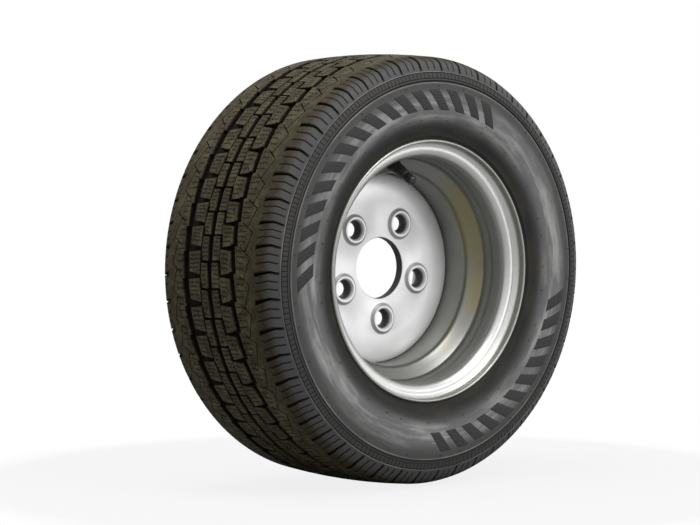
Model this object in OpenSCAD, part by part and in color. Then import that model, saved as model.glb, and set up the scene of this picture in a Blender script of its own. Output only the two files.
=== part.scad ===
/* [Tyre] */
// Outer diameter of the tyre over its crown
tyre_d = 468; // [452:1:490]
// Width across the two sidewalls
section_w = 196.4; // [188:0.2:206]
// Width of the tread between its shoulders
tread_w = 144; // [136:1:150]
// Fall of the crown from its middle to the shoulder
crown_drop = 3; // [1:0.5:5]
// Share of the section's height at which it is widest
widest_share = 0.525; // [0.48:0.005:0.58]
// Depth of the tread grooves
groove_depth = 7; // [4:0.5:8]
// Rubber left under the tread grooves
undertread = 7; // [5:0.5:10]
// Thickness of the sidewall
sidewall_t = 7; // [5:0.5:9]
// Width of the bead on its seat
bead_w = 15; // [12:0.5:18]

/* [Tread pattern] */
// Width of the wide grooves beside the middle blocks
wide_groove = 7.4; // [5:0.2:9]
// Width of the zigzag sipe in the outer ribs
rib_sipe = 1.3; // [0.8:0.1:2]
// Depth of the slots in the shoulder
slot_depth = 5; // [3:0.5:6]

/* [Rim] */
// Diameter of the bead seats at the flanges
bead_seat_d = 253.2; // [252:0.1:254.4]
// Width between the two flanges
rim_w = 152.4; // [145:0.1:158]
// Height of the flanges above the bead seats
flange_h = 15.7; // [14:0.1:18]
// Radius of the curl at the top of a flange
flange_curl = 9.5; // [8:0.1:11]
// Thickness of the rim's sheet
rim_t = 3.2; // [2.5:0.1:4]
// Depth of the well below the bead seats, on the axle's side of the sheet
well_depth = 21.6; // [19:0.1:26]
// Depth of the ledge below the bead seat, on the axle's side of the sheet
ledge_depth = 5.2; // [4.8:0.1:6.4]
// Slope of the well's wall against the axle
wall_slope = 59.5; // [52:0.5:66]
// Distance from a flange to where the ledge starts
ledge_inset = 30.2; // [29:0.1:34]
// Height of the hump that keeps the bead on its seat
hump_h = 1.2; // [0.8:0.1:1.6]

/* [Disc] */
// Place of the mounting face, outboard of the rim's middle
mount_offset = -4; // [-10:0.5:6]
// Thickness of the disc's face
disc_t = 9.5; // [6:0.5:11]
// Thickness of the disc's skirt
skirt_t = 7.5; // [5:0.5:8]
// Length of the skirt, from the front of the face
skirt_l = 27; // [22:1:34]
// Width of the rounded crown between the flat face and the skirt
crown_w = 31; // [24:0.5:31]
// Fall of that crown down to the skirt
crown_fall = 7.6; // [5:0.1:12]
// Diameter of the centre bore
bore_d = 67; // [56:0.5:72]
// Number of stud holes
stud_count = 5; // [4:1:6]
// Diameter of the circle of stud holes
stud_circle_d = 112; // [108:1:120]
// Diameter of a stud hole
stud_hole_d = 15.5; // [13:0.1:17]
// Diameter of a stud hole's conical seat at its mouth
seat_d = 24.4; // [20:0.2:25]
// Height of the raised ring round a stud hole
boss_h = 2.8; // [1.5:0.1:3.5]
// Leg of the weld between disc and rim
weld_leg = 5; // [3:0.5:6]

/* [Valve] */
// Diameter of the valve hole in the rim
valve_hole_d = 11.5; // [11.3:0.1:11.9]
// Angle of the valve round the wheel, from the right
valve_angle = 95; // [90:1:100]
// Length of the valve outside the rim, with its cap
valve_l = 35.5; // [33:0.5:38]
// Diameter of the cap
cap_d = 10.4; // [9.6:0.2:11]
// Diameter of the valve's brass thread
stem_thread_d = 7.7; // [7.5:0.1:7.9]

/* [Hidden] */
$fn = 144;

// Clearances: a bead against the rim, a press fit's gap, a running fit
bead_gap = 0.2;
seat_gap = 0.05;
run_gap = 0.08;

tread_r = tyre_d / 2;
half_tread = tread_w / 2;
half_section = section_w / 2;
bead_seat_r = bead_seat_d / 2;
widest_r = bead_seat_r + widest_share * (tread_r - bead_seat_r);
shoulder_r = tread_r - crown_drop;
half_rim = rim_w / 2;
well_r = bead_seat_r - well_depth;
ledge_r = bead_seat_r - ledge_depth;
ledge_at = half_rim - ledge_inset;

// Outlines are in [radius, place along the axle], with the outboard side positive
function arc(centre, r, from, to, steps) =
    [for (i = [0 : steps]) let (a = from + (to - from) * i / steps) centre + r * [cos(a), sin(a)]];
function mirrored(line) = [for (i = [len(line) - 1 : -1 : 0]) [line[i].x, -line[i].y]];
function reversed(line) = [for (i = [len(line) - 1 : -1 : 0]) line[i]];

// Turns what is modelled with the axle along Z to stand with the outboard side to -Y
module stand() {
    rotate([90, 0, 0]) children();
}

// Rim: one sheet, from the middle of the well to the tip of a flange
well_bend = 5;
ledge_bend = 4;
root_bend = 5;
seat_taper = 5;
curl_end = 25;
hump_half = 5.5;
hump_at = half_rim - 21.8;
wall_l = (ledge_r - well_r - (well_bend + rim_t + ledge_bend) * (1 - cos(wall_slope))) / sin(wall_slope);
well_bend_at = ledge_at - (well_bend + rim_t + ledge_bend) * sin(wall_slope) - wall_l * cos(wall_slope);
well_centre = [well_r + rim_t + well_bend, well_bend_at];
wall_start = well_centre + (well_bend + rim_t) * [-cos(wall_slope), sin(wall_slope)];
wall_end = wall_start + wall_l * [sin(wall_slope), cos(wall_slope)];
ledge_centre = [ledge_r - ledge_bend, ledge_at];
function seat_r(s) = bead_seat_r - (half_rim - s) * tan(seat_taper);
root_at = half_rim - root_bend;
root_centre = [seat_r(root_at + root_bend * sin(seat_taper)) + root_bend * cos(seat_taper), root_at];
curl_centre = [bead_seat_r + flange_h - flange_curl, half_rim + flange_curl];

function ledge_out(s) = s < hump_at ? ledge_r + rim_t
    : ledge_r + rim_t + (seat_r(hump_at + hump_half) - ledge_r - rim_t) * (s - hump_at) / hump_half;
function hump_line(away) = [for (i = [-5 : 5]) let (s = hump_at + hump_half * i / 5)
    [ledge_out(s) + hump_h * (1 + cos(36 * i)) / 2 - away, s]];

rim_tyre_side = concat(
    arc(well_centre, well_bend, 180, 180 - wall_slope, 6),
    arc(ledge_centre, ledge_bend + rim_t, -wall_slope, 0, 6),
    hump_line(0),
    arc(root_centre, root_bend, 180 - seat_taper, 90, 6),
    arc(curl_centre, flange_curl, -90, curl_end, 14));
rim_axle_side = concat(
    arc(well_centre, well_bend + rim_t, 180, 180 - wall_slope, 8),
    arc(ledge_centre, ledge_bend, -wall_slope, 0, 6),
    hump_line(rim_t),
    arc(root_centre, root_bend + rim_t, 180 - seat_taper, 90, 10),
    arc(curl_centre, flange_curl - rim_t, -90, curl_end, 14));
rim_lip = arc(curl_centre + (flange_curl - rim_t / 2) * [cos(curl_end), sin(curl_end)],
              rim_t / 2, curl_end + 22.5, curl_end + 157.5, 5);
rim_half = concat(rim_tyre_side, rim_lip, reversed(rim_axle_side));

module rim_barrel() {
    color("lightgray") stand() difference() {
        rotate_extrude() polygon(concat(
            mirrored(rim_tyre_side), rim_tyre_side, rim_lip, reversed(rim_axle_side),
            reversed(mirrored(rim_axle_side)), mirrored(rim_lip)));
        on_valve() translate([0, 0, -2 * rim_t]) cylinder(h = 3 * rim_t, d = valve_hole_d);
    }
}

// Tyre: the carcass, then what is cut from its tread and shoulders
crown_inner = tread_r - groove_depth - undertread;
function crown(s) = tread_r - crown_drop * pow(s / half_tread, 2);
function shoulder(a) = [widest_r + (shoulder_r - widest_r) * pow(cos(a), 0.8),
                        half_tread + (half_section - half_tread) * sin(a)];
flange_top = curl_centre.x + flange_curl;
wrap_start = 15;
flank_in = half_section - curl_centre.y - (flange_curl + bead_gap) * sin(wrap_start);
flank_foot = curl_centre.x + (flange_curl + bead_gap) * cos(wrap_start);
function up_flank(share) = flank_foot + share * (widest_r - flank_foot);
function flank(r) = [r, half_section - flank_in * pow((widest_r - r) / (widest_r - flank_foot), 2)];
// A ring stands proud of the flank at the foot of the shoulder, and a rib above the flange
function up_shoulder(share) = widest_r + share * (shoulder_r - widest_r);
ring_foot = up_shoulder(0.448);
ring_proud = 0.9;
rib_at = flank_foot + 3.2;
function shoulder_angle(r) = acos(pow((r - widest_r) / (shoulder_r - widest_r), 1.25));
function groove_ring(r) = let (a = shoulder_angle(r), p = shoulder(a))
    [p + [0.7, ring_proud - 0.3], p + [0, ring_proud - 1.1], p + [-0.7, ring_proud + 0.2]];
foot_a = shoulder_angle(ring_foot);
toe_s = half_rim - bead_w;

tyre_outer = concat(
    [for (i = [0 : 2]) let (s = half_tread * i / 3) [crown(s), s]],
    [for (a = [0 : 8 : 48]) shoulder(a) + [0, ring_proud * a / 54]],
    groove_ring(up_shoulder(0.629)),
    groove_ring(up_shoulder(0.498)),
    [shoulder(foot_a) + [0, ring_proud], shoulder(foot_a + 1)],
    [for (a = [foot_a + 5 : (89 - foot_a) / 4 : 90]) shoulder(a)],
    [for (i = [1 : 7]) flank(widest_r + (rib_at + 2 - widest_r) * i / 7)],
    [flank(rib_at) + [0, 0.7], flank(rib_at - 1)],
    arc(curl_centre, flange_curl + bead_gap, wrap_start, -90, 12),
    arc(root_centre, root_bend - bead_gap, 90, 180 - seat_taper, 5),
    [[seat_r(toe_s + 2) + bead_gap, toe_s + 2], [seat_r(toe_s) + bead_gap + 1.6, toe_s]]);
tyre_inner = concat(
    [[seat_r(toe_s) + 12, toe_s + 4], [up_flank(0.17), curl_centre.y - flange_curl + 2]],
    [for (i = [2 : 8]) flank(up_flank(i / 8)) - [0, sidewall_t]],
    [for (a = [15 : 15 : 75]) [widest_r + (crown_inner - widest_r) * pow(sin(a), 0.9),
                               (half_section - sidewall_t) * pow(cos(a), 0.35)]]);

module carcass() {
    rotate_extrude() polygon(concat(
        mirrored([for (i = [1 : len(tyre_outer) - 1]) tyre_outer[i]]), tyre_outer,
        tyre_inner, mirrored(tyre_inner)));
}

// Pitches: the pattern repeats in five lengths, whose order keeps the tyre quiet
pitch_kinds = [6.2, 6.7, 7.1, 7.4, 8.0];
pitch_order = [4, 3, 2, 4, 3, 2, 0, 0, 1, 4, 4, 3, 2, 0, 0, 2, 2, 4, 3, 2, 2, 0, 0, 1, 4,
               4, 3, 2, 2, 2, 4, 3, 2, 0, 0, 1, 4, 4, 3, 2, 2, 4, 3, 2, 0, 1, 4, 4, 3, 2];
first_pitch = 64.5;
pitches = len(pitch_order);
function steps_to(n) = n <= 0 ? 0 : steps_to(n - 1) + pitch_kinds[pitch_order[n - 1]];
all_steps = steps_to(pitches);
starts = [for (i = [0 : pitches + 2]) first_pitch
    + 360 * (i < pitches ? steps_to(i) : all_steps + steps_to(i - pitches)) / all_steps];
function angle_at(i, u) = u < 0 ? starts[i] + u * (starts[i + 1] - starts[i])
    : u < 1 ? starts[i] + u * (starts[i + 1] - starts[i])
    : starts[i + 1] + (u - 1) * (starts[i + 2] - starts[i + 1]);

// Groove outlines in [place along the axle, share of the pitch], whose ends overlap the next pitch
outboard_groove = [[40.7 - wide_groove, 0], [40.7 - wide_groove, 0.22], [44.7 - wide_groove, 1.09],
                   [39.5, 1.09], [44.4, 1.05], [40.7, 0.05], [40.7, 0]];
inboard_groove = [[-38.6 - wide_groove, 0.33], [-35.4 - wide_groove, 1.29], [-35 - wide_groove, 1.39],
                  [-35.6, 1.39], [-32.4, 1.1], [-34.2, 0.33]];
middle_groove = [[-3.5, 0.68], [-1.3, 1.58], [-1.3, 1.8], [4.2, 1.8], [5.8, 1.58], [4.8, 0.68]];
outboard_cross = [[17, 0.215], [34.2, 0.26], [38, 0.02], [19.6, 0.135]];
inboard_cross = [[-35.4, 1.08], [-33.4, 1.06], [-13.6, 1.15], [-13.9, 1.28], [-35.4, 1.36]];
outboard_step = [[15, 0.65], [17.2, 1.69], [18.9, 1.69], [17.7, 1.23], [18.4, 1.2], [20.9, 1.18],
                 [20.8, 1.12], [19.4, 0.65]];
inboard_step = [[-15.6, 0.25], [-14.9, 1.2], [-14.4, 1.3], [-13.8, 1.3], [-12.6, 1.15], [-12, 0.7],
                [-10.5, 0.6], [-13, 0.25]];
outboard_middle = [[3.2, 0.622], [18, 0.6], [18, 0.7], [3.2, 0.71]];
inboard_middle = [[-13.8, 0.63], [0, 0.64], [0, 0.74], [-13.8, 0.73]];
tread_cuts = [outboard_groove, inboard_groove, middle_groove, outboard_cross, inboard_cross,
              outboard_step, inboard_step, outboard_middle, inboard_middle];
rib_cuts = [[[48.2, 0.1], [64.5, 0.46]], [[64.5, 0.46], [56, 1.285]],
            [[-48.2, 1.15], [-64.5, 0.79]], [[-64.5, 0.79], [-56, -0.035]]];

function on_tread(i, middle, p) = [-p.x, tread_r * sin(angle_at(i, p.y) - middle)];
function bar(a, b, w) = let (d = b - a, n = [-d.y, d.x] * w / 2 / norm(d)) [a + n, b + n, b - n, a - n];

module tread_pitch(i) {
    middle = angle_at(i, 0.7);
    rotate([0, 0, middle]) rotate([0, 90, 0]) translate([0, 0, tread_r - groove_depth])
        linear_extrude(groove_depth + 4) union() {
            for (cut = tread_cuts) polygon([for (p = cut) on_tread(i, middle, p)]);
            for (cut = rib_cuts)
                polygon(bar(on_tread(i, middle, cut[0]), on_tread(i, middle, cut[1]), rib_sipe));
        }
}

// A slot in [length from the shoulder's edge, share of the pitch], on a plane that leans outward
slot_outline = [[-1.5, 0.115], [-1.1, -0.005], [15, -0.1], [22, -0.03], [22, 0.02], [15, -0.045]];
slot_lean = 26;
module shoulder_pitch(i, side) {
    start = side > 0 ? angle_at(i, 0) : angle_at(i, 1.25);
    width = tread_r * sin(angle_at(i, 1) - angle_at(i, 0));
    rotate([0, 0, start]) translate([shoulder_r - slot_depth, 0, side * half_tread])
        rotate([0, 90 - side * slot_lean, 0])
            linear_extrude(slot_depth + 8)
                polygon([for (p = slot_outline) [-side * p.x / cos(slot_lean), side * p.y * width]]);
}

module tyre() {
    color([0.16, 0.16, 0.16]) stand() difference() {
        carcass();
        for (i = [0 : pitches - 1]) tread_pitch(i);
        for (i = [0 : pitches - 1], side = [-1, 1]) shoulder_pitch(i, side);
    }
}

// Disc: a thick pressed cup, its skirt inside the well
face_s = mount_offset + disc_t;
skirt_r = well_r - seat_gap;
skirt_end = face_s - skirt_l;
crown_inner_w = 10;
crown_inner_fall = 5;
boss_foot = 5;
boss_rim = 1.9;
boss_round = 0.5;
seat_depth = (seat_d - stud_hole_d) / 2 / tan(30);

// A quarter of an ellipse that leaves the flat face level and meets the skirt upright
function crown_line(corner, width, fall) = [for (a = [0 : 7.5 : 90])
    corner - [width * (1 - sin(a)), fall * (1 - cos(a))]];

module stud_place(n) {
    first_stud = 58.4;
    rotate([0, 0, first_stud + 360 * n / stud_count]) translate([stud_circle_d / 2, 0, 0]) children();
}

module stud_boss() {
    rotate_extrude() polygon([
        [0, face_s - 1],
        [seat_d / 2 + boss_foot, face_s - 1],
        [seat_d / 2 + boss_foot, face_s],
        [seat_d / 2 + boss_foot - 2 * boss_round, face_s + boss_round],
        [seat_d / 2 + boss_rim + boss_round, face_s + boss_h - boss_round],
        [seat_d / 2 + boss_rim, face_s + boss_h],
        [0, face_s + boss_h]]);
}

module stud_hole() {
    rotate_extrude() polygon([
        [0, mount_offset - 1],
        [stud_hole_d / 2, mount_offset - 1],
        [stud_hole_d / 2, face_s + boss_h - seat_depth],
        [seat_d / 2, face_s + boss_h],
        [seat_d / 2, face_s + boss_h + 1],
        [0, face_s + boss_h + 1]]);
}

module wheel_disc() {
    bore_r = bore_d / 2;
    bore_edge = 0.8;
    color("whitesmoke") stand() difference() {
        union() {
            rotate_extrude() polygon(concat(
                [[bore_r, mount_offset], [bore_r, face_s - bore_edge], [bore_r + bore_edge, face_s]],
                crown_line([skirt_r, face_s], crown_w, crown_fall),
                [[skirt_r, skirt_end], [skirt_r - skirt_t, skirt_end]],
                reversed(crown_line([skirt_r - skirt_t, mount_offset], crown_inner_w, crown_inner_fall))));
            for (n = [0 : stud_count - 1]) stud_place(n) stud_boss();
        }
        for (n = [0 : stud_count - 1]) stud_place(n) stud_hole();
    }
}

module disc_welds() {
    weld_count = 4;
    weld_angle = 72;
    color("silver") stand() for (n = [0 : weld_count - 1])
        rotate([0, 0, (n + 0.1) * 360 / weld_count]) rotate_extrude(angle = weld_angle)
            polygon(concat(
                [[well_r - seat_gap, skirt_end - seat_gap], [well_r - seat_gap, skirt_end - weld_leg]],
                [for (a = [25, 0, -25]) [well_r - seat_gap - weld_leg * (1 - 0.62 * cos(45 - a)),
                                         skirt_end - weld_leg * (1 - 0.62 * cos(45 + a))]],
                [[well_r - seat_gap - weld_leg, skirt_end - seat_gap]]));
}

// Valve: snapped into the sloping wall, its own axis along Z and the rim's surface at zero
valve_foot = (wall_start + wall_end) / 2;
module on_valve() {
    rotate([0, 0, valve_angle]) translate([valve_foot.x, 0, valve_foot.y])
        rotate([0, wall_slope - 90, 0]) children();
}

stem_r = 3.4;
rubber_top = valve_l - 12;
stem_top = valve_l - 2.6;
chamber_r = 2.1;
thread_r = 2.6;
cap_foot = rubber_top + 0.3;
thread_end = stem_top - 6.4;
cone_end = thread_end - 3.8;
chamber_end = cone_end - 8.8;

module valve_body() {
    neck_r = valve_hole_d / 2 - seat_gap;
    color([0.08, 0.08, 0.08]) stand() on_valve() rotate_extrude() polygon([
        [stem_r, -13], [5.2, -13], [6.6, -10.5], [7.5, -7], [7.6, -rim_t - 0.4],
        [neck_r, -rim_t - 0.4], [neck_r, 0.4], [7.6, 0.4], [7.8, 1.4], [7.3, 3.4],
        [6.6, 7], [5.9, rubber_top - 4], [5.4, rubber_top - 0.8], [4.8, rubber_top], [stem_r, rubber_top]]);
}

module valve_stem() {
    outer = stem_thread_d / 2;
    color("goldenrod") stand() on_valve() rotate_extrude() polygon([
        [1.3, -11], [stem_r, -11], [stem_r, rubber_top + 0.2], [outer, rubber_top + 0.7],
        [outer, stem_top - 0.6], [outer - 0.6, stem_top], [thread_r, stem_top], [thread_r, thread_end],
        [chamber_r, cone_end], [chamber_r, chamber_end], [1.3, chamber_end - 0.8]]);
}

plug_top = stem_top - 0.5;
plug_foot = thread_end + 0.6;
barrel_top = plug_foot - 0.1;
barrel_foot = chamber_end + 5;
barrel_r = 1.85;
pin_r = 0.5;
pin_travel = 1.2;
ledge_top = barrel_foot + 1;
collar_foot = barrel_top - 0.8;

module core_plug() {
    flat_r = 1.9;
    color("gold") stand() on_valve() rotate_extrude() polygon([
        [1.15, plug_foot], [thread_r - run_gap, plug_foot], [thread_r - run_gap, plug_top - 1.6],
        [flat_r, plug_top - 1.3], [flat_r, plug_top], [1.15, plug_top]]);
}

module core_barrel() {
    color("gold") stand() on_valve() rotate_extrude() polygon([
        [pin_r + run_gap, barrel_foot], [barrel_r, barrel_foot], [barrel_r, barrel_top],
        [1.35, barrel_top], [1.35, ledge_top], [pin_r + run_gap, ledge_top]]);
}

module core_gasket() {
    low = cone_end + 0.5;
    high = thread_end - 0.7;
    function cone_r(z) = chamber_r + (thread_r - chamber_r) * (z - cone_end) / (thread_end - cone_end);
    color("firebrick") stand() on_valve() rotate_extrude() polygon([
        [barrel_r + seat_gap, low], [cone_r(low) - seat_gap, low],
        [cone_r(high) - seat_gap, high], [barrel_r + seat_gap, high]]);
}

module core_pin() {
    color("gold") stand() on_valve() rotate_extrude() polygon([
        [0, barrel_foot - 2], [pin_r, barrel_foot - 2], [pin_r, collar_foot], [1.05, collar_foot],
        [1.05, collar_foot + 0.4], [pin_r, collar_foot + 0.4], [pin_r, plug_top - 0.6],
        [0.8, plug_top - 0.4], [0.8, plug_top], [0, plug_top]]);
}

// The spring is a wire swept along a helix, with its two end rings level
spring_turns = 6;
spring_sides = 8;
spring_steps = 14;
module core_spring() {
    wire_r = 0.14;
    coil_r = 1.0;
    low = ledge_top + wire_r + 0.03;
    high = collar_foot - wire_r - 0.03;
    rings = spring_turns * spring_steps;
    points = [for (i = [0 : rings], j = [0 : spring_sides - 1])
        let (a = 360 * i / spring_steps, b = 360 * j / spring_sides, r = coil_r + wire_r * cos(b))
        [r * cos(a), r * sin(a), low + (high - low) * i / rings + wire_r * sin(b)]];
    function corner(i, j) = i * spring_sides + j % spring_sides;
    sides = [for (i = [0 : rings - 1], j = [0 : spring_sides - 1])
        each [[corner(i, j), corner(i, j + 1), corner(i + 1, j + 1)],
              [corner(i, j), corner(i + 1, j + 1), corner(i + 1, j)]]];
    ends = [[for (j = [spring_sides - 1 : -1 : 0]) j], [for (j = [0 : spring_sides - 1]) corner(rings, j)]];
    color("silver") stand() on_valve() polyhedron(points, concat(sides, ends));
}

module core_cup() {
    color("gold") stand() on_valve() rotate_extrude() polygon([
        [pin_r + 0.02, barrel_foot - 1.9], [1.2, barrel_foot - 1.9], [1.6, barrel_foot - 1.5],
        [1.6, barrel_foot - 0.5], [1.35, barrel_foot - 0.5], [1.35, barrel_foot - 1.1],
        [pin_r + 0.02, barrel_foot - 1.1]]);
}

module core_cup_seal() {
    color("black") stand() on_valve() rotate_extrude() polygon([
        [pin_r + 0.02, barrel_foot - 1.08], [1.33, barrel_foot - 1.08],
        [1.33, barrel_foot - seat_gap], [pin_r + 0.02, barrel_foot - seat_gap]]);
}

module valve_cap() {
    cap_r = cap_d / 2;
    inside = stem_thread_d / 2 + run_gap;
    roof = valve_l - 1.6;
    grips = 10;
    color([0.1, 0.1, 0.1]) stand() on_valve() difference() {
        rotate_extrude() polygon([
            [inside, cap_foot], [cap_r - 0.3, cap_foot], [cap_r, cap_foot + 0.4], [cap_r, valve_l - 2],
            [cap_r - 0.8, valve_l - 0.6], [cap_r - 2, valve_l], [0, valve_l], [0, roof], [inside, roof]]);
        for (n = [0 : grips - 1]) rotate([0, 0, 360 * (n + 0.5) / grips])
            translate([cap_r + 0.35, 0, cap_foot + 1.5]) cylinder(h = 8.5, r = 0.8, $fn = 24);
    }
}

module cap_seal() {
    color("black") stand() on_valve() translate([0, 0, stem_top + seat_gap])
        cylinder(h = valve_l - 1.6 - stem_top - 2 * seat_gap, r = stem_thread_d / 2 - 0.2);
}

tyre();
rim_barrel();
wheel_disc();
disc_welds();
valve_body();
valve_stem();
core_plug();
core_barrel();
core_gasket();
core_pin();
core_spring();
core_cup();
core_cup_seal();
valve_cap();
cap_seal();
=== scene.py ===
import math
import bpy
import bmesh
from mathutils import Matrix, Vector


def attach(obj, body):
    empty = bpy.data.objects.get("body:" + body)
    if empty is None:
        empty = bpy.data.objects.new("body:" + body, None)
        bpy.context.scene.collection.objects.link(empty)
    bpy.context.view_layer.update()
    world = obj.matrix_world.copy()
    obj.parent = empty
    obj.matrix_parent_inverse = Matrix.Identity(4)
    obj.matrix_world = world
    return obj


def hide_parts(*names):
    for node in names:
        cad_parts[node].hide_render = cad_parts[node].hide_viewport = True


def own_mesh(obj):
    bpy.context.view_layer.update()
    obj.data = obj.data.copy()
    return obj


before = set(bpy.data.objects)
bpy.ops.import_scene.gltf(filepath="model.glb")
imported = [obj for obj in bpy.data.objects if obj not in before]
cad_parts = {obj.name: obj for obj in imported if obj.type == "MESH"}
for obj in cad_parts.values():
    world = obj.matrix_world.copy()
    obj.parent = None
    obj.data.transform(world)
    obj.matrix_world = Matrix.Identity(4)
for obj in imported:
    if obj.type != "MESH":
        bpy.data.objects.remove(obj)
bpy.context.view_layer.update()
print("frame loaded")

mm = 0.001
toMm = 1000
scene = bpy.context.scene


# Shader nodes, written as expressions
class Wire:
    def __init__(self, shader, socket):
        self.shader = shader
        self.socket = socket

    def maths(self, operation, *others):
        values = dict(enumerate((self,) + others))
        return self.shader.add("Math", {"operation": operation}, values)

    def __add__(self, other): return self.maths("ADD", other)
    def __radd__(self, other): return self.maths("ADD", other)
    def __sub__(self, other): return self.maths("SUBTRACT", other)
    def __rsub__(self, other): return (self * -1).maths("ADD", other)
    def __mul__(self, other): return self.maths("MULTIPLY", other)
    def __rmul__(self, other): return self.maths("MULTIPLY", other)
    def __truediv__(self, other): return self.maths("DIVIDE", other)
    def __abs__(self): return self.maths("ABSOLUTE")

    def most(self, other): return self.maths("MAXIMUM", other)
    def least(self, other): return self.maths("MINIMUM", other)
    def fraction(self): return self.maths("FRACT")

    # 0 halfway between two whole numbers, 0.5 at each of them
    def fromHalf(self): return abs(self.fraction() - 0.5)

    def ramp(self, *stops):
        return self.shader.add("ValToRGB", {"stops": stops}, {0: self})

    def smooth(self, low, high, start=0.0, end=1.0):
        values = {0: self, 1: low, 2: high, 3: start, 4: end}
        return self.shader.add("MapRange", {"interpolation_type": "SMOOTHSTEP"}, values)

    def fade(self, low, high):
        return self.smooth(low, high, 1.0, 0.0)

    def near(self, target, half, soft):
        return abs(self - target).fade(half, half + soft)


class Shader:
    def __init__(self, name):
        self.material = bpy.data.materials.new(name)
        self.material.use_nodes = True
        self.nodes = self.material.node_tree.nodes
        self.links = self.material.node_tree.links
        self.surface = self.nodes["Principled BSDF"]

    def add(self, kind, settings, values, output=0):
        node = self.nodes.new("ShaderNode" + kind)
        for name, value in settings.items():
            if name == "stops":
                self.setStops(node.color_ramp, value)
            else:
                setattr(node, name, value)
        for key, value in values.items():
            self.feed(node.inputs[key], value)
        return Wire(self, node.outputs[output])

    def setStops(self, ramp, stops):
        for index, (place, shade) in enumerate(stops):
            stop = ramp.elements[index] if index < 2 else ramp.elements.new(place)
            stop.position = place
            stop.color = (shade, shade, shade, 1)

    def feed(self, socket, value):
        if isinstance(value, Wire):
            self.links.new(value.socket, socket)
        elif isinstance(value, tuple) and len(value) == 3 and socket.type == "RGBA":
            socket.default_value = value + (1,)
        else:
            socket.default_value = value

    def set(self, **values):
        for name, value in values.items():
            self.feed(self.surface.inputs[name.replace("_", " ")], value)
        return self

    def place(self):
        return self.add("TexCoord", {}, {}, "Object")

    def split(self, vector):
        return [self.add("SeparateXYZ", {}, {0: vector}, axis) for axis in range(3)]

    def noise(self, vector, scale, detail=3.0, roughness=0.55):
        values = {"Vector": vector, "Scale": scale, "Detail": detail, "Roughness": roughness}
        return self.add("TexNoise", {}, values)

    def mix(self, amount, first, second):
        return self.add("Mix", {"data_type": "RGBA"}, {0: amount, 6: first, 7: second}, 2)

    def bump(self, height, distance):
        return self.add("Bump", {}, {"Strength": 1.0, "Distance": distance, "Height": height})


def lengthOf(first, second):
    return (first * first + second * second).maths("SQRT")


# A place on the wheel, from its radius and its place outboard in mm and its angle in degrees
def onWheel(radius, outboard, angle):
    turned = math.radians(angle)
    return Vector((radius * math.cos(turned), -outboard, radius * math.sin(turned))) * mm


# The tyre's outer line, as it is cut in the solid, and the floors of its grooves and slots
tyreForm = {"treadRadius": 234, "crownDrop": 3, "halfTread": 72, "halfSection": 98.2,
            "widestRadius": 183, "shoulderPower": 1.25, "flankFoot": 142.4, "flankIn": 9.9,
            "grooveFloor": 215, "slotFloor": 205}


def crownRadius(side):
    form = tyreForm
    return form["treadRadius"] - form["crownDrop"] * (side / form["halfTread"]) ** 2


def flankOut(radius):
    form = tyreForm
    widest = form["widestRadius"]
    if radius > widest:
        rise = (radius - widest) / (crownRadius(form["halfTread"]) - widest)
        turned = math.acos(min(rise, 1) ** form["shoulderPower"])
        overhang = form["halfSection"] - form["halfTread"]
        return form["halfTread"] + overhang * math.sin(turned)
    fall = (widest - radius) / (widest - form["flankFoot"])
    return form["halfSection"] - form["flankIn"] * fall ** 2


# The pitches' lengths and order, as they are cut in the tread
pitchSettings = {"kinds": (6.2, 6.7, 7.1, 7.4, 8.0), "first": 64.5,
                 "order": "43243200144320022432200144322243200144322432014432"}


def pitchStarts():
    lengths = [pitchSettings["kinds"][int(kind)] for kind in pitchSettings["order"]]
    total = sum(lengths)
    starts = [0.0]
    for length in lengths:
        starts.append(starts[-1] + 360 * length / total)
    return starts


def pitchCount(angle, starts):
    turned = (angle - pitchSettings["first"]) % 360
    for index, (start, end) in enumerate(zip(starts, starts[1:])):
        if turned <= end:
            return index + (turned - start) / (end - start)
    return len(starts) - 1.0


def finishPiece(mesh, name, material, body, replaced=None):
    piece = bpy.data.objects.new(name, mesh)
    scene.collection.objects.link(piece)
    mesh.materials.clear()
    mesh.materials.append(material)
    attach(piece, body)
    if replaced:
        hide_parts(replaced)
    return piece


# Degrees, then mm
copySettings = {"sharpAngle": 32.0, "joined": 0.004, "smallest": 0.002}


# A node's own mesh with its points joined, so that it can be shaded smooth
def smoothCopy(node, name, material, body, joined=copySettings["joined"]):
    copied = bmesh.new()
    copied.from_mesh(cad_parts[node].data)
    bmesh.ops.remove_doubles(copied, verts=copied.verts, dist=joined * mm)
    smallest = copySettings["smallest"] * mm
    bmesh.ops.dissolve_degenerate(copied, edges=copied.edges, dist=smallest)
    for face in copied.faces:
        face.smooth = True
    sharpAngle = math.radians(copySettings["sharpAngle"])
    for edge in copied.edges:
        if len(edge.link_faces) == 2 and edge.calc_face_angle(0) > sharpAngle:
            edge.smooth = False
    mesh = bpy.data.meshes.new(name)
    copied.to_mesh(mesh)
    copied.free()
    return finishPiece(mesh, name, material, body, node)


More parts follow.
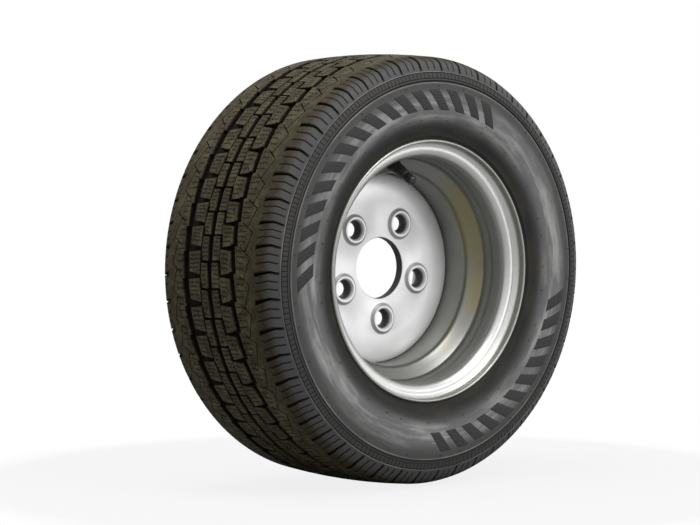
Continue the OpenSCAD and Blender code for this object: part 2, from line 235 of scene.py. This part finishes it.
# Rubber. A noise is its scale, detail and roughness. One that is laid along the tyre has its
# stretch along each direction first
tyreLook = {
    "tread": (0.042, 0.035, 0.017), "brown": (0.034, 0.023, 0.014),
    "worn": (0.02, 0.017, 0.009), "dust": (0.11, 0.098, 0.05),
    # The darkest colour is painted shade in grooves, slots, the step line and the fine cuts
    "recessShade": (0.0075, 0.0058, 0.005), "side": (0.064, 0.064, 0.065),
    # The pale band is a painted highlight, and the dark foot is painted shade by the rim
    "band": (0.35, 0.35, 0.351), "foot": (0.011, 0.011, 0.0115),
    "grain": (900.0, 2.0), "blotches": (22.0, 5.0, 0.6), "patches": (75.0, 3.0, 0.6),
    "specks": (330.0, 3.0, 0.7), "stray": ((3.0, 0.08), (1.0, 2.0)),
    "streaks": ((0.16, 0.05, 0.03), (2.2, 5.0, 0.6)),
    "scuffs": ((2.5, 0.12, 0.1), (1.3, 4.0, 0.65)),
    "streakShare": 0.75, "blotchShare": 0.25, "wornRise": (0.42, 0.66),
    "patchRise": (0.46, 0.66), "patchDust": 0.4, "speckRise": (0.46, 0.62), "speckDust": 0.3,
    "scuffRise": (0.35, 0.62), "brownFade": (0.35, 0.6), "brownShare": 0.6,
    "ribShare": 0.45, "bulgeHighlightShare": (0.25, 0.75), "ringHighlightShare": (0.2, 0.5), "rimShadeShare": 0.9,
    "dustShare": 0.16, "slotShare": 0.85, "cutShare": 0.95,
    "grainHeight": 0.06, "blotchHeight": 0.15, "cutHeight": 0.4, "bumpDepth": 0.6,
    "rough": 0.66, "flankSheen": 0.14, "grainRough": 0.12, "wornRough": 0.06,
    "sunkRough": 0.3, "specular": 0.13}

# Places on the tyre in mm. A band is its middle, half its width and its soft edge
tyrePlaces = {
    "flankRise": (80.0, 90.0), "crownRise": (229.0, 230.5), "dustRise": (229.5, 232.5),
    # Where painted highlight and painted shade lie on the flank: its foot, its bulge, the step
    # line and the pale rings
    "sunkRise": (0.4, 2.6), "rimShadeFade": (150.0, 167.0), "bulgeHighlight": (177.0, 4.0, 17.0),
    "ribEdge": (70.0, 5.0, 4.0), "stepShade": (204.2, 0.9, 0.5), "stepShadeShare": 0.85,
    "ladderBand": (210.0, 3.6, 0.6), "ladderBandShare": 0.3,
    "highlightRings": ((202.2, 0.3, 0.5), (214.0, 0.2, 0.5)),
    "tickBand": (210.0, 2.9, 0.5), "ticksInPitch": 5.0, "tickFade": (0.06, 0.16),
    "tickShare": (0.35, 0.7)}

# Fine wavy sipes in the blocks: outboard from, outboard to, shares of the pitch
blockSipes = [(43.5, 56, (0.22, 0.44, 0.66, 0.88)), (-56, -44.5, (0.05, 0.27, 0.49, 0.71)),
              (20, 32, (0.38, 0.55, 0.72, 0.89)), (-31.5, -16.5, (0.46, 0.61, 0.76, 0.91)),
              (6.5, 16.5, (0.8, 0.96, 0.12, 0.28, 0.45)),
              (-12, -4, (0.86, 0.02, 0.18, 0.34, 0.5))]
sipeForm = {"width": 1.35, "pitchLength": 29.0, "fade": (0.2, 0.8), "waveTurn": 1.3,
            "waveStep": 2.1, "waveShare": 0.02, "strayShare": 0.14, "strayReach": 12.0,
            "endIn": 0.4, "endSoft": 0.5}

# The shoulder's slots and fine sipes. Each line is a row of stops: how far out along the
# shoulder, and which share of the pitch there
shoulderForm = {
    "from": 73.0, "length": 21.0, "mirrorShare": 1.25, "middleFade": (-1.0, 1.0),
    "slotMiddle": ((0.0, 0.545), (0.667, 0.4275), (1.0, 0.495)),
    "slotHalf": ((0.0, 0.075), (0.667, 0.04), (1.0, 0.03)),
    "slotFade": (0.012, 0.035), "slotBand": (82.5, 10.5, 1.5), "slotRise": (195.0, 205.0),
    "sipes": (((0.0, 0.31), (0.143, 0.36), (0.667, 0.26), (1.0, 0.32)),
              ((0.07, 0.66), (0.667, 0.56), (1.0, 0.62))),
    "sipeFade": (0.3, 1.0), "sipeBand": (83.0, 9.5, 0.8), "sipeRise": (190.0, 193.0)}


def sipeFade(shares):
    return [share * sipeForm["width"] / sipeForm["pitchLength"] for share in shares]


def blockCuts(share, count, outboard, stray):
    form = sipeForm
    turned = outboard * form["waveTurn"] + count.maths("FLOOR") * form["waveStep"]
    wave = turned.maths("SINE") * form["waveShare"] + (stray - 0.5) * form["strayShare"]
    cuts = None
    for low, high, targets in blockSipes:
        apart = None
        for target in targets:
            away = (share - wave + (1.5 - target)).fromHalf()
            apart = away if apart is None else apart.least(away)
        half = (high - low) / 2 - form["endIn"]
        laid = outboard + (stray - 0.5) * form["strayReach"]
        band = laid.near((low + high) / 2, half, form["endSoft"])
        cut = band * apart.fade(*sipeFade(form["fade"]))
        cuts = cut if cuts is None else cuts.most(cut)
    return cuts


# Painted shade in margins round the shoulder's slots, which widens their dark, and in the two fine
# sipes between them
def shoulderCuts(share, outboard, side, radius):
    form = shoulderForm
    inboard = outboard.fade(*form["middleFade"])
    share = share * (1 - inboard) + (form["mirrorShare"] - share).fraction() * inboard
    place = (side - form["from"]) / form["length"]
    fromSlot = (share - place.ramp(*form["slotMiddle"]) + 1.0).fromHalf()
    slots = (fromSlot - place.ramp(*form["slotHalf"])).fade(*form["slotFade"])
    slots = slots * side.near(*form["slotBand"]) * radius.smooth(*form["slotRise"])
    onShoulder = side.near(*form["sipeBand"]) * radius.smooth(*form["sipeRise"])
    first, second = [abs(share - place.ramp(*line)).fade(*sipeFade(form["sipeFade"])) * onShoulder
                     for line in form["sipes"]]
    return slots, first.most(second)


def makeRubber():
    look, places = tyreLook, tyrePlaces
    rubber = Shader("tyreRubber")
    place = rubber.place()
    x, y, z = rubber.split(place)
    outboard = y * -toMm
    side = abs(outboard)
    radius = lengthOf(x, z) * toMm
    count = rubber.split(rubber.add("UVMap", {"uv_map": "pitchLay"}, {}))[0]
    share = count.fraction()

    def laidNoise(name, *wires):
        stretches, settings = look[name]
        parts = {axis: wire * stretches[axis] for axis, wire in enumerate(wires)}
        return rubber.noise(rubber.add("CombineXYZ", {}, parts), *settings)

    # Cuts in the blocks and on the shoulder, and a ladder of ticks between two fine rings, all
    # bumped and painted dark as painted shade
    stray = laidNoise("stray", count, outboard)
    cuts = blockCuts(share, count, outboard, stray) * radius.smooth(*places["crownRise"])
    slots, shoulderSipes = shoulderCuts(share, outboard, side, radius)
    ticks = (count * places["ticksInPitch"]).fromHalf().fade(*places["tickFade"])
    tickLeast, tickMore = places["tickShare"]
    ladder = radius.near(*places["tickBand"]) * ticks * (tickLeast + stray * tickMore)
    cuts = cuts.most(shoulderSipes).most(ladder)

    # Mould flow on the flank, dust on the crown
    flank = side.smooth(*places["flankRise"])
    streaks = laidNoise("streaks", count, radius, side)
    scuffs = laidNoise("scuffs", count, outboard, radius)
    grain, blotches, patches, specks = [rubber.noise(place, *look[name]) for name in
                                        ("grain", "blotches", "patches", "specks")]
    worn = streaks * look["streakShare"] + blotches * look["blotchShare"]
    worn = worn.smooth(*look["wornRise"])
    crownDust = patches.smooth(*look["patchRise"]) * look["patchDust"]
    crownDust = crownDust + specks.smooth(*look["speckRise"]) * look["speckDust"]
    crownDust = crownDust * radius.smooth(*places["dustRise"])

    # Painted highlight: the flank is palest where it bulges and on two thin ring lines. Painted
    # shade: it is darkest at its foot by the rim
    # Painted shade in grooves and slots, growing with how far a point lies below the outer line
    sunk = rubber.add("Attribute", {"attribute_name": "sunk"}, {}, "Fac")
    sunk = sunk.smooth(*places["sunkRise"])
    bulgeHighlight = radius.near(*places["bulgeHighlight"]) * flank
    foot = radius.fade(*places["rimShadeFade"]) * flank
    # Painted shade along the step at 204 mm and over the ladder's ticked ring
    stepShade = radius.near(*places["stepShade"]) * places["stepShadeShare"]
    ladderBand = radius.near(*places["ladderBand"]) * places["ladderBandShare"]
    edge = stepShade.most(ladderBand) * flank
    firstPale, secondPale = [radius.near(*line) for line in places["highlightRings"]]
    ringHighlight = firstPale.most(secondPale) * flank

    treadShade = rubber.mix(scuffs.smooth(*look["scuffRise"]), look["worn"], look["tread"])
    browned = patches.fade(*look["brownFade"]) * look["brownShare"]
    treadShade = rubber.mix(browned, treadShade, look["brown"])
    base = rubber.mix(flank, treadShade, look["side"])
    base = rubber.mix(side.near(*places["ribEdge"]) * look["ribShare"], base, look["worn"])
    # Painted highlight where the flank bulges and on the thin rings, mottled by the streaks
    for mask, (least, more) in ((bulgeHighlight, look["bulgeHighlightShare"]), (ringHighlight, look["ringHighlightShare"])):
        base = rubber.mix(mask * (least + worn * more), base, look["band"])
    # Painted shade at the flank's foot by the rim
    base = rubber.mix(foot * look["rimShadeShare"], base, look["foot"])
    base = rubber.mix(worn * flank * look["dustShare"] + crownDust, base, look["dust"])
    # Painted shade in grooves, slots, the step line, the ladder's ring and the fine cuts
    sunkShade = sunk.most(edge).most(slots * look["slotShare"])
    base = rubber.mix(sunkShade, base, look["recessShade"])
    base = rubber.mix(cuts * look["cutShare"], base, look["recessShade"])

    height = grain * look["grainHeight"] + blotches * look["blotchHeight"]
    height = height - cuts * look["cutHeight"]
    rough = look["rough"] - flank * look["flankSheen"] + (grain - 0.5) * look["grainRough"]
    rough = rough + worn * look["wornRough"] + cuts.most(sunk).most(slots) * look["sunkRough"]
    return rubber.set(Base_Color=base, Roughness=rough,
                      Normal=rubber.bump(height, look["bumpDepth"] * mm),
                      Specular_IOR_Level=look["specular"]).material


# A UV map whose first coordinate counts the pitches round the tyre
def layPitches(mesh):
    starts = pitchStarts()
    whole = len(starts) - 1

    def countAt(place):
        return pitchCount(math.degrees(math.atan2(place.z, place.x)), starts)

    lay = mesh.uv_layers.new(name="pitchLay")
    counts = [countAt(vertex.co) for vertex in mesh.vertices]
    for face in mesh.polygons:
        middle = countAt(face.center)
        for loopIndex in face.loop_indices:
            vertex = mesh.loops[loopIndex].vertex_index
            count = counts[vertex]
            if count - middle > whole / 2:
                count -= whole
            elif middle - count > whole / 2:
                count += whole
            lay.data[loopIndex].uv = (count, -mesh.vertices[vertex].co.y)


# How many mm each point lies below the tyre's outer line, for the painted shade in grooves and
# slots
def markSunk(mesh):
    form = tyreForm
    sunk = mesh.attributes.new("sunk", "FLOAT", "POINT")
    for index, vertex in enumerate(mesh.vertices):
        radius = math.hypot(vertex.co.x, vertex.co.z) / mm
        side = abs(vertex.co.y) / mm
        below = 0.0
        if side <= form["halfTread"] and radius > form["grooveFloor"]:
            below = crownRadius(side) - radius
        elif side > form["halfTread"] and radius > form["slotFloor"]:
            below = flankOut(min(radius, crownRadius(form["halfTread"]))) - side
        sunk.data[index].value = max(0.0, below)


tyre = smoothCopy("tyre", "tyreRubberShell", makeRubber(), "wheel")
layPitches(tyre.data)
markSunk(tyre.data)
print("tyre done")


# Slanted ribbed bars on the flanks, a plain moulded pattern, in mm and degrees. An edge that
# bends by more than rimTurn, in radians, is rounded
barSettings = {"low": 173.5, "high": 195.0, "slant": 5.0, "width": 4.4, "step": 7.6,
               "proud": 0.5, "sink": 0.6, "fields": ((62.0, 190.0), (268.0, 352.0)),
               "columns": 3, "rows": 6, "rimTurn": 1.0, "round": 0.25, "roundSteps": 2}
barLook = {"low": (0.012, 0.012, 0.012), "high": (0.03, 0.03, 0.03), "grain": (1400.0, 2.0),
           "ribsPerMm": 0.62, "ribRise": (0.1, 0.4), "rough": 0.7, "grainShare": 0.1,
           "bumpDepth": 0.35}


def makeBarRubber():
    look = barLook
    rubber = Shader("barRubber")
    place = rubber.place()
    grain = rubber.noise(place, *look["grain"]) * look["grainShare"]
    x, y, z = rubber.split(place)
    ribs = lengthOf(x, z) * toMm * look["ribsPerMm"]
    # The ribs' hollows are painted darker as painted shade, their crests paler
    ribbed = ribs.fromHalf().smooth(*look["ribRise"])
    base = rubber.mix(ribbed, look["low"], look["high"])
    return rubber.set(Base_Color=base, Roughness=look["rough"] + grain,
                      Normal=rubber.bump(ribbed + grain, look["bumpDepth"] * mm)).material


def addBar(bars, middle, outward):
    form = barSettings
    made = bmesh.ops.create_grid(bars, x_segments=form["columns"], y_segments=form["rows"],
                                 size=0.5)
    for vertex in made["verts"]:
        radius = form["low"] + (vertex.co.y + 0.5) * (form["high"] - form["low"])
        angle = middle + vertex.co.x * form["width"] + vertex.co.y * form["slant"]
        vertex.co = onWheel(radius, outward * (flankOut(radius) - form["sink"]), angle)
    faces = list({face for vertex in made["verts"] for face in vertex.link_faces})
    raised = bmesh.ops.extrude_face_region(bars, geom=faces)
    tops = [item for item in raised["geom"] if isinstance(item, bmesh.types.BMVert)]
    lift = Vector((0, -outward * (form["proud"] + form["sink"]) * mm, 0))
    bmesh.ops.translate(bars, verts=tops, vec=lift)
    rim = [edge for edge in {e for vertex in tops for e in vertex.link_edges}
           if len(edge.link_faces) == 2 and edge.calc_face_angle(0) > form["rimTurn"]
           and all(vertex in tops for vertex in edge.verts)]
    bmesh.ops.bevel(bars, geom=rim, offset=form["round"] * mm, offset_type="OFFSET",
                    segments=form["roundSteps"], profile=0.5, affect="EDGES", material=-1)


bars = bmesh.new()
for outward in (1, -1):
    for start, end in barSettings["fields"]:
        steps = int((end - start) / barSettings["step"])
        for index in range(steps):
            addBar(bars, start + (index + 0.5) * barSettings["step"], outward)
bmesh.ops.recalc_face_normals(bars, faces=bars.faces)
barMesh = bpy.data.meshes.new("flankBars")
bars.to_mesh(barMesh)
bars.free()
for face in barMesh.polygons:
    face.use_smooth = True
barRubber = makeBarRubber()
finishPiece(barMesh, "flankBars", barRubber, "wheel")
print("flank bars done")


# Short vent pips that the mould leaves on the flanks, half of each sunk in the rubber
pipSettings = {"radii": (163.0, 199.0), "count": 34, "thick": 0.45, "tip": 0.6, "tall": 2.4,
               "sides": 8, "stray": 0.2, "strayTurn": 2.3}
pips = bmesh.new()
for outward in (1, -1):
    upright = Matrix.Rotation(math.radians(90 * outward), 3, "X")
    for row, radius in enumerate(pipSettings["radii"]):
        for index in range(pipSettings["count"]):
            stray = pipSettings["stray"] * math.sin(index * pipSettings["strayTurn"])
            angle = 360 * (index + 0.5 * row + stray) / pipSettings["count"]
            thick = pipSettings["thick"] * mm
            made = bmesh.ops.create_cone(pips, cap_ends=True, segments=pipSettings["sides"],
                                         radius1=thick, radius2=pipSettings["tip"] * thick,
                                         depth=2 * pipSettings["tall"] * mm)
            bmesh.ops.rotate(pips, verts=made["verts"], cent=Vector(), matrix=upright)
            onFlank = onWheel(radius, outward * flankOut(radius), angle)
            bmesh.ops.translate(pips, verts=made["verts"], vec=onFlank)
pipMesh = bpy.data.meshes.new("ventPips")
pips.to_mesh(pipMesh)
pips.free()
finishPiece(pipMesh, "ventPips", barRubber, "wheel")
print("vent pips done")


# Painted steel
# The dark colour makes random darker clouds in the paint, and is also the disc's painted shade
paintLook = {"sootAndShade": (0.02, 0.02, 0.019), "white": (1.0, 1.0, 1.0), "cloud": (14.0, 4.0),
             "cloudFade": (0.35, 0.7), "cloudShare": 0.12, "cloudRough": 0.12,
             "fleck": (1600.0, 2.0, 0.7), "fleckRise": (0.55, 0.8), "fleckShare": 0.12,
             "fleckRough": 0.08, "orangePeel": (260.0, 2.0), "coat": 0.15, "coatRough": 0.2}

# The barrel changes outwards from the middle of the well, in mm: slope, ledge, flange, curl. Its
# paint is far darker than the disc's as painted shade inside the wheel, the flange is paler as
# painted highlight, and the curl is darker as painted shade
barrelLook = {"colour": (0.24, 0.24, 0.225), "metallic": 0.85, "rough": 0.36, "peelDepth": 0.02,
              "slope": (0.2, 0.2, 0.19), "slopeRise": (28.0, 31.0), "slopeFade": (44.0, 46.5),
              "olive": (0.205, 0.193, 0.105), "oliveNoise": (9.0, 2.0),
              "oliveRise": (0.47, 0.6), "ledgeRise": (44.0, 50.0), "ledgeFade": (64.0, 74.0),
              "ledgeRough": 0.24, "flange": (0.62, 0.62, 0.61), "flangeRise": (67.0, 79.0),
              "curl": (0.3, 0.3, 0.265), "curlBand": (87.0, 2.5, 3.5)}

# The disc gets painted shade round its bosses, in its holes and in its bore, in mm from their
# middles.
# Whole turns are added to an angle, so that it isn't below 0
discLook = {"colour": (0.92, 0.925, 0.925), "metallic": 0.2, "rough": 0.44, "peelDepth": 0.02,
            "studRadius": 56.0, "firstStud": 58.4, "studStep": 72.0, "wholeTurns": 10,
            "bossFlank": (15.8, 1.1, 1.1), "bossShadeShare": 0.6, "seatFade": (9.7, 11.9),
            "boreFade": (33.6, 34.2), "holeShadeShare": 0.97, "boreRough": 0.4,
            "crownRise": (70.0, 92.0), "crownMetal": 0.15, "crownSheen": 0.08}
weldLook = {"colour": (0.4, 0.4, 0.39), "metallic": 0.5, "rough": 0.45, "peelDepth": 0.2}


def barrelShade(paint, place, y):
    look = barrelLook
    out = abs(y * toMm)
    onSlope = out.smooth(*look["slopeRise"]) * out.fade(*look["slopeFade"])
    olive = paint.noise(place, *look["oliveNoise"]).smooth(*look["oliveRise"])
    slope = paint.mix(olive, look["slope"], look["olive"])
    colour = paint.mix(onSlope, look["colour"], slope)
    # A paler flange as painted highlight, and a darker curl as painted shade
    colour = paint.mix(out.smooth(*look["flangeRise"]), colour, look["flange"])
    colour = paint.mix(out.near(*look["curlBand"]), colour, look["curl"])
    onLedge = out.smooth(*look["ledgeRise"]) * out.fade(*look["ledgeFade"])
    return colour, look["rough"] + onLedge * look["ledgeRough"]


def discShade(paint, x, z, base):
    look, sootAndShade = discLook, paintLook["sootAndShade"]
    radius = lengthOf(x, z) * toMm
    turned = z.maths("ARCTAN2", x) * (180 / math.pi) - look["firstStud"]
    apart = ((turned + 360 * look["wholeTurns"]) / look["studStep"] + 0.5).fromHalf()
    cosine = (apart * math.radians(look["studStep"])).maths("COSINE")
    stud = look["studRadius"]
    squared = radius * radius + stud * stud - radius * cosine * (2 * stud)
    fromStud = squared.most(0.0).maths("SQRT")
    bore = radius.fade(*look["boreFade"])
    holeShade = fromStud.fade(*look["seatFade"]).most(bore)
    onCrown = radius.smooth(*look["crownRise"])
    # Painted shade round the bosses' flanks, in the seats and holes, and in the bore
    base = paint.mix(fromStud.near(*look["bossFlank"]) * look["bossShadeShare"], base, sootAndShade)
    base = paint.mix(holeShade * look["holeShadeShare"], base, sootAndShade)
    metallic = look["metallic"] + onCrown * look["crownMetal"]
    roughness = look["rough"] - onCrown * look["crownSheen"] + bore * look["boreRough"]
    return base, metallic, roughness


def makePaint(name, look):
    shared = paintLook
    paint = Shader(name)
    place = paint.place()
    x, y, z = paint.split(place)
    colour, metallic, roughness = look["colour"], look["metallic"], look["rough"]
    if look is barrelLook:
        colour, roughness = barrelShade(paint, place, y)
    cloud, fleck, orangePeel = [paint.noise(place, *shared[noise]) for noise in
                                ("cloud", "fleck", "orangePeel")]
    clouded = cloud.fade(*shared["cloudFade"]) * shared["cloudShare"]
    base = paint.mix(clouded, colour, shared["sootAndShade"])
    flecked = fleck.smooth(*shared["fleckRise"]) * shared["fleckShare"]
    base = paint.mix(flecked, base, shared["white"])
    if look is discLook:
        base, metallic, roughness = discShade(paint, x, z, base)
    roughness = roughness + (cloud - 0.5) * shared["cloudRough"]
    roughness = roughness + (fleck - 0.5) * shared["fleckRough"]
    return paint.set(Base_Color=base, Roughness=roughness, Metallic=metallic,
                     Normal=paint.bump(orangePeel, look["peelDepth"] * mm),
                     Coat_Weight=shared["coat"], Coat_Roughness=shared["coatRough"]).material


for node, name, paintName, look in (("rim_barrel", "paintedBarrel", "barrelPaint", barrelLook),
                                    ("wheel_disc", "paintedDisc", "discPaint", discLook),
                                    ("disc_welds", "discWeldBeads", "weldPaint", weldLook)):
    smoothCopy(node, name, makePaint(paintName, look), "wheel")
print("rim done")


# Valve: its foot and its axis outwards, the pin's travel in metres, and the thread in mm
valveLook = {"foot": (-0.0099563, -0.0394926, 0.1137993),
             "axis": (0.0442348, -0.861629, -0.5056066), "pinTravel": 0.0012, "pitch": 0.794,
             "threadFrom": 24.3, "threadTo": 32.0, "threadRadius": 3.7, "threadSoft": 0.1,
             "threadDepth": 0.35, "threadShade": 0.25, "threadShare": 0.6,
             "threadGrain": 0.02, "wholeTurns": 60.0}
plainShared = {"grainRise": (0.3, 0.7), "darkShade": 0.8, "grainRough": 0.15,
               "fineJoin": 0.002, "springJoin": 0.0005}
plainLooks = {
    "valveRubber": {"colour": (0.03, 0.03, 0.03), "metallic": 0.0, "rough": 0.5,
                    "grain": 900.0, "depth": 0.04},
    "capPlastic": {"colour": (0.022, 0.022, 0.023), "metallic": 0.0, "rough": 0.35,
                   "grain": 1500.0, "depth": 0.02},
    "turnedBrass": {"colour": (0.72, 0.52, 0.22), "metallic": 1.0, "rough": 0.28,
                    "grain": 2500.0, "depth": 0.008},
    "sealRubber": {"colour": (0.02, 0.02, 0.02), "metallic": 0.0, "rough": 0.6,
                   "grain": 1500.0, "depth": 0.02},
    "gasketPlastic": {"colour": (0.5, 0.04, 0.03), "metallic": 0.0, "rough": 0.4,
                      "grain": 1500.0, "depth": 0.02},
    "springSteel": {"colour": (0.6, 0.6, 0.6), "metallic": 1.0, "rough": 0.25,
                    "grain": 2500.0, "depth": 0.005}}


def darkened(colour, share):
    return tuple(channel * share for channel in colour)


# The fine thread on the stem, and how far each place is from its grooves
def threadOn(plain, place):
    look = valveLook
    turned = Vector(look["axis"]).to_track_quat("Z", "Y").to_euler()
    laid = plain.add("Mapping", {"vector_type": "TEXTURE"}, {0: place, 1: look["foot"], 2: turned})
    x, y, z = plain.split(laid)
    high, soft = z * toMm, look["threadSoft"]
    outside = lengthOf(x, y) * toMm
    onThread = outside.smooth(look["threadRadius"], look["threadRadius"] + soft)
    onThread = onThread * high.smooth(look["threadFrom"], look["threadFrom"] + soft)
    onThread = onThread * high.fade(look["threadTo"], look["threadTo"] + soft)
    turns = high / look["pitch"] + y.maths("ARCTAN2", x) / math.tau + look["wholeTurns"]
    return onThread, turns.fromHalf() * 2


def makePlain(name, look, threaded=False):
    shared = plainShared
    plain = Shader(name)
    place = plain.place()
    grain = plain.noise(place, look["grain"], 3.0)
    colour = look["colour"]
    base = plain.mix(grain.smooth(*shared["grainRise"]), darkened(colour, shared["darkShade"]),
                     colour)
    height, reach = grain, look["depth"]
    if threaded:
        onThread, wave = threadOn(plain, place)
        # The thread's grooves are darkened as painted shade
        base = plain.mix((1 - wave) * onThread * valveLook["threadShare"], base,
                         darkened(colour, valveLook["threadShade"]))
        height = wave * onThread + grain * valveLook["threadGrain"]
        reach = valveLook["threadDepth"]
    return plain.set(Base_Color=base, Metallic=look["metallic"],
                     Roughness=look["rough"] + (grain - 0.5) * shared["grainRough"],
                     Normal=plain.bump(height, reach * mm)).material


plains = {name: makePlain(name, look) for name, look in plainLooks.items()}
threadedBrass = makePlain("threadedBrass", plainLooks["turnedBrass"], True)
fineJoin = plainShared["fineJoin"]
smoothCopy("valve_body", "valveRubberBody", plains["valveRubber"], "wheel")
smoothCopy("valve_stem", "valveBrassStem", threadedBrass, "wheel", fineJoin)
smoothCopy("valve_cap", "valveCapShell", plains["capPlastic"], "cap", fineJoin)
for name, nodes in {"turnedBrass": ("core_plug", "core_barrel", "core_pin", "core_cup"),
                    "gasketPlastic": ("core_gasket",),
                    "sealRubber": ("core_cup_seal", "cap_seal")}.items():
    for node in nodes:
        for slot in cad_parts[node].material_slots:
            slot.material = plains[name]

# The core's spring, given a mesh of its own, and the valve's axis outwards
springCopy = smoothCopy("core_spring", "coreSpringWire", plains["springSteel"], "wheel",
                        plainShared["springJoin"])
outward = Vector(valveLook["axis"])
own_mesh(springCopy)
print("valve done")


# Floor, world, lights and camera. The floor's height is in mm, the rest in metres
studio = {"floor": -234.0, "floorSize": 9.0, "floorColour": (0.4, 0.4, 0.4), "floorRough": 0.9,
          "floorSpecular": 0.1, "floorGlow": 0.85, "fade": (0.2, 0.5), "world": 0.5,
          "lens": 145.08, "sensor": 36, "shift": (-0.0373, 0.0075), "clipEnd": 30,
          "camera": (-2.0519, -2.3176, 0.1677)}
floorMesh = bpy.data.meshes.new("paleFloor")
floorForm = bmesh.new()
bmesh.ops.create_grid(floorForm, x_segments=1, y_segments=1, size=studio["floorSize"])
bmesh.ops.translate(floorForm, verts=floorForm.verts, vec=Vector((0, 0, studio["floor"] * mm)))
floorForm.to_mesh(floorMesh)
floorForm.free()
floor = bpy.data.objects.new("paleFloor", floorMesh)
scene.collection.objects.link(floor)
floorPaint = Shader("palePaper")
floorX, floorY, floorZ = floorPaint.split(floorPaint.place())
away = lengthOf(floorX, floorY).smooth(*studio["fade"])
seenDirectly = floorPaint.add("LightPath", {}, {}, "Is Camera Ray")
glow = seenDirectly * away.most(studio["floorGlow"])
floorPaint.set(Base_Color=studio["floorColour"], Roughness=studio["floorRough"],
               Specular_IOR_Level=studio["floorSpecular"])
whiteLight = floorPaint.add("Emission", {}, {"Color": (1.0, 1.0, 1.0)})
blend = floorPaint.nodes.new("ShaderNodeMixShader")
paper = Wire(floorPaint, floorPaint.surface.outputs[0])
for index, wire in enumerate((glow, paper, whiteLight)):
    floorPaint.feed(blend.inputs[index], wire)
output = floorPaint.nodes["Material Output"]
floorPaint.links.new(blend.outputs[0], output.inputs["Surface"])
floorMesh.materials.append(floorPaint.material)

world = bpy.data.worlds.new("studioWorld")
scene.world = world
world.use_nodes = True
worldNodes, worldLinks = world.node_tree.nodes, world.node_tree.links
backing = worldNodes["Background"]
rays = worldNodes.new("ShaderNodeLightPath")
seen = worldNodes.new("ShaderNodeMath")
seen.operation = "MAXIMUM"
worldLinks.new(rays.outputs["Is Camera Ray"], seen.inputs[0])
worldLinks.new(rays.outputs["Is Glossy Ray"], seen.inputs[1])
strength = worldNodes.new("ShaderNodeMapRange")
strength.inputs["To Min"].default_value = studio["world"]
strength.inputs["To Max"].default_value = 1.0
worldLinks.new(seen.outputs[0], strength.inputs[0])
worldLinks.new(strength.outputs[0], backing.inputs["Strength"])
backing.inputs["Color"].default_value = (1, 1, 1, 1)

# Name, place and size in metres, power in watts
lamps = [("keyLamp", (0.3, -1.9, 2.3), 1.3, 46.0), ("topLamp", (-0.7, 0.2, 2.6), 1.4, 50.0),
         ("fillLamp", (1.6, -2.6, 0.4), 1.2, 14.0)]
for name, place, size, power in lamps:
    lampData = bpy.data.lights.new(name, "AREA")
    lampData.size = size
    lampData.energy = power
    lamp = bpy.data.objects.new(name, lampData)
    lamp.location = place
    lamp.rotation_euler = (-Vector(place)).to_track_quat("-Z", "Y").to_euler()
    scene.collection.objects.link(lamp)

cameraData = bpy.data.cameras.new("photoCamera")
cameraData.sensor_width = studio["sensor"]
cameraData.lens = studio["lens"]
cameraData.shift_x, cameraData.shift_y = studio["shift"]
cameraData.clip_end = studio["clipEnd"]
camera = bpy.data.objects.new("photoCamera", cameraData)
camera.location = studio["camera"]
camera.rotation_euler = (-Vector(studio["camera"])).to_track_quat("-Z", "Y").to_euler()
scene.collection.objects.link(camera)
scene.camera = camera
scene.view_settings.view_transform = "Standard"
print("studio done")
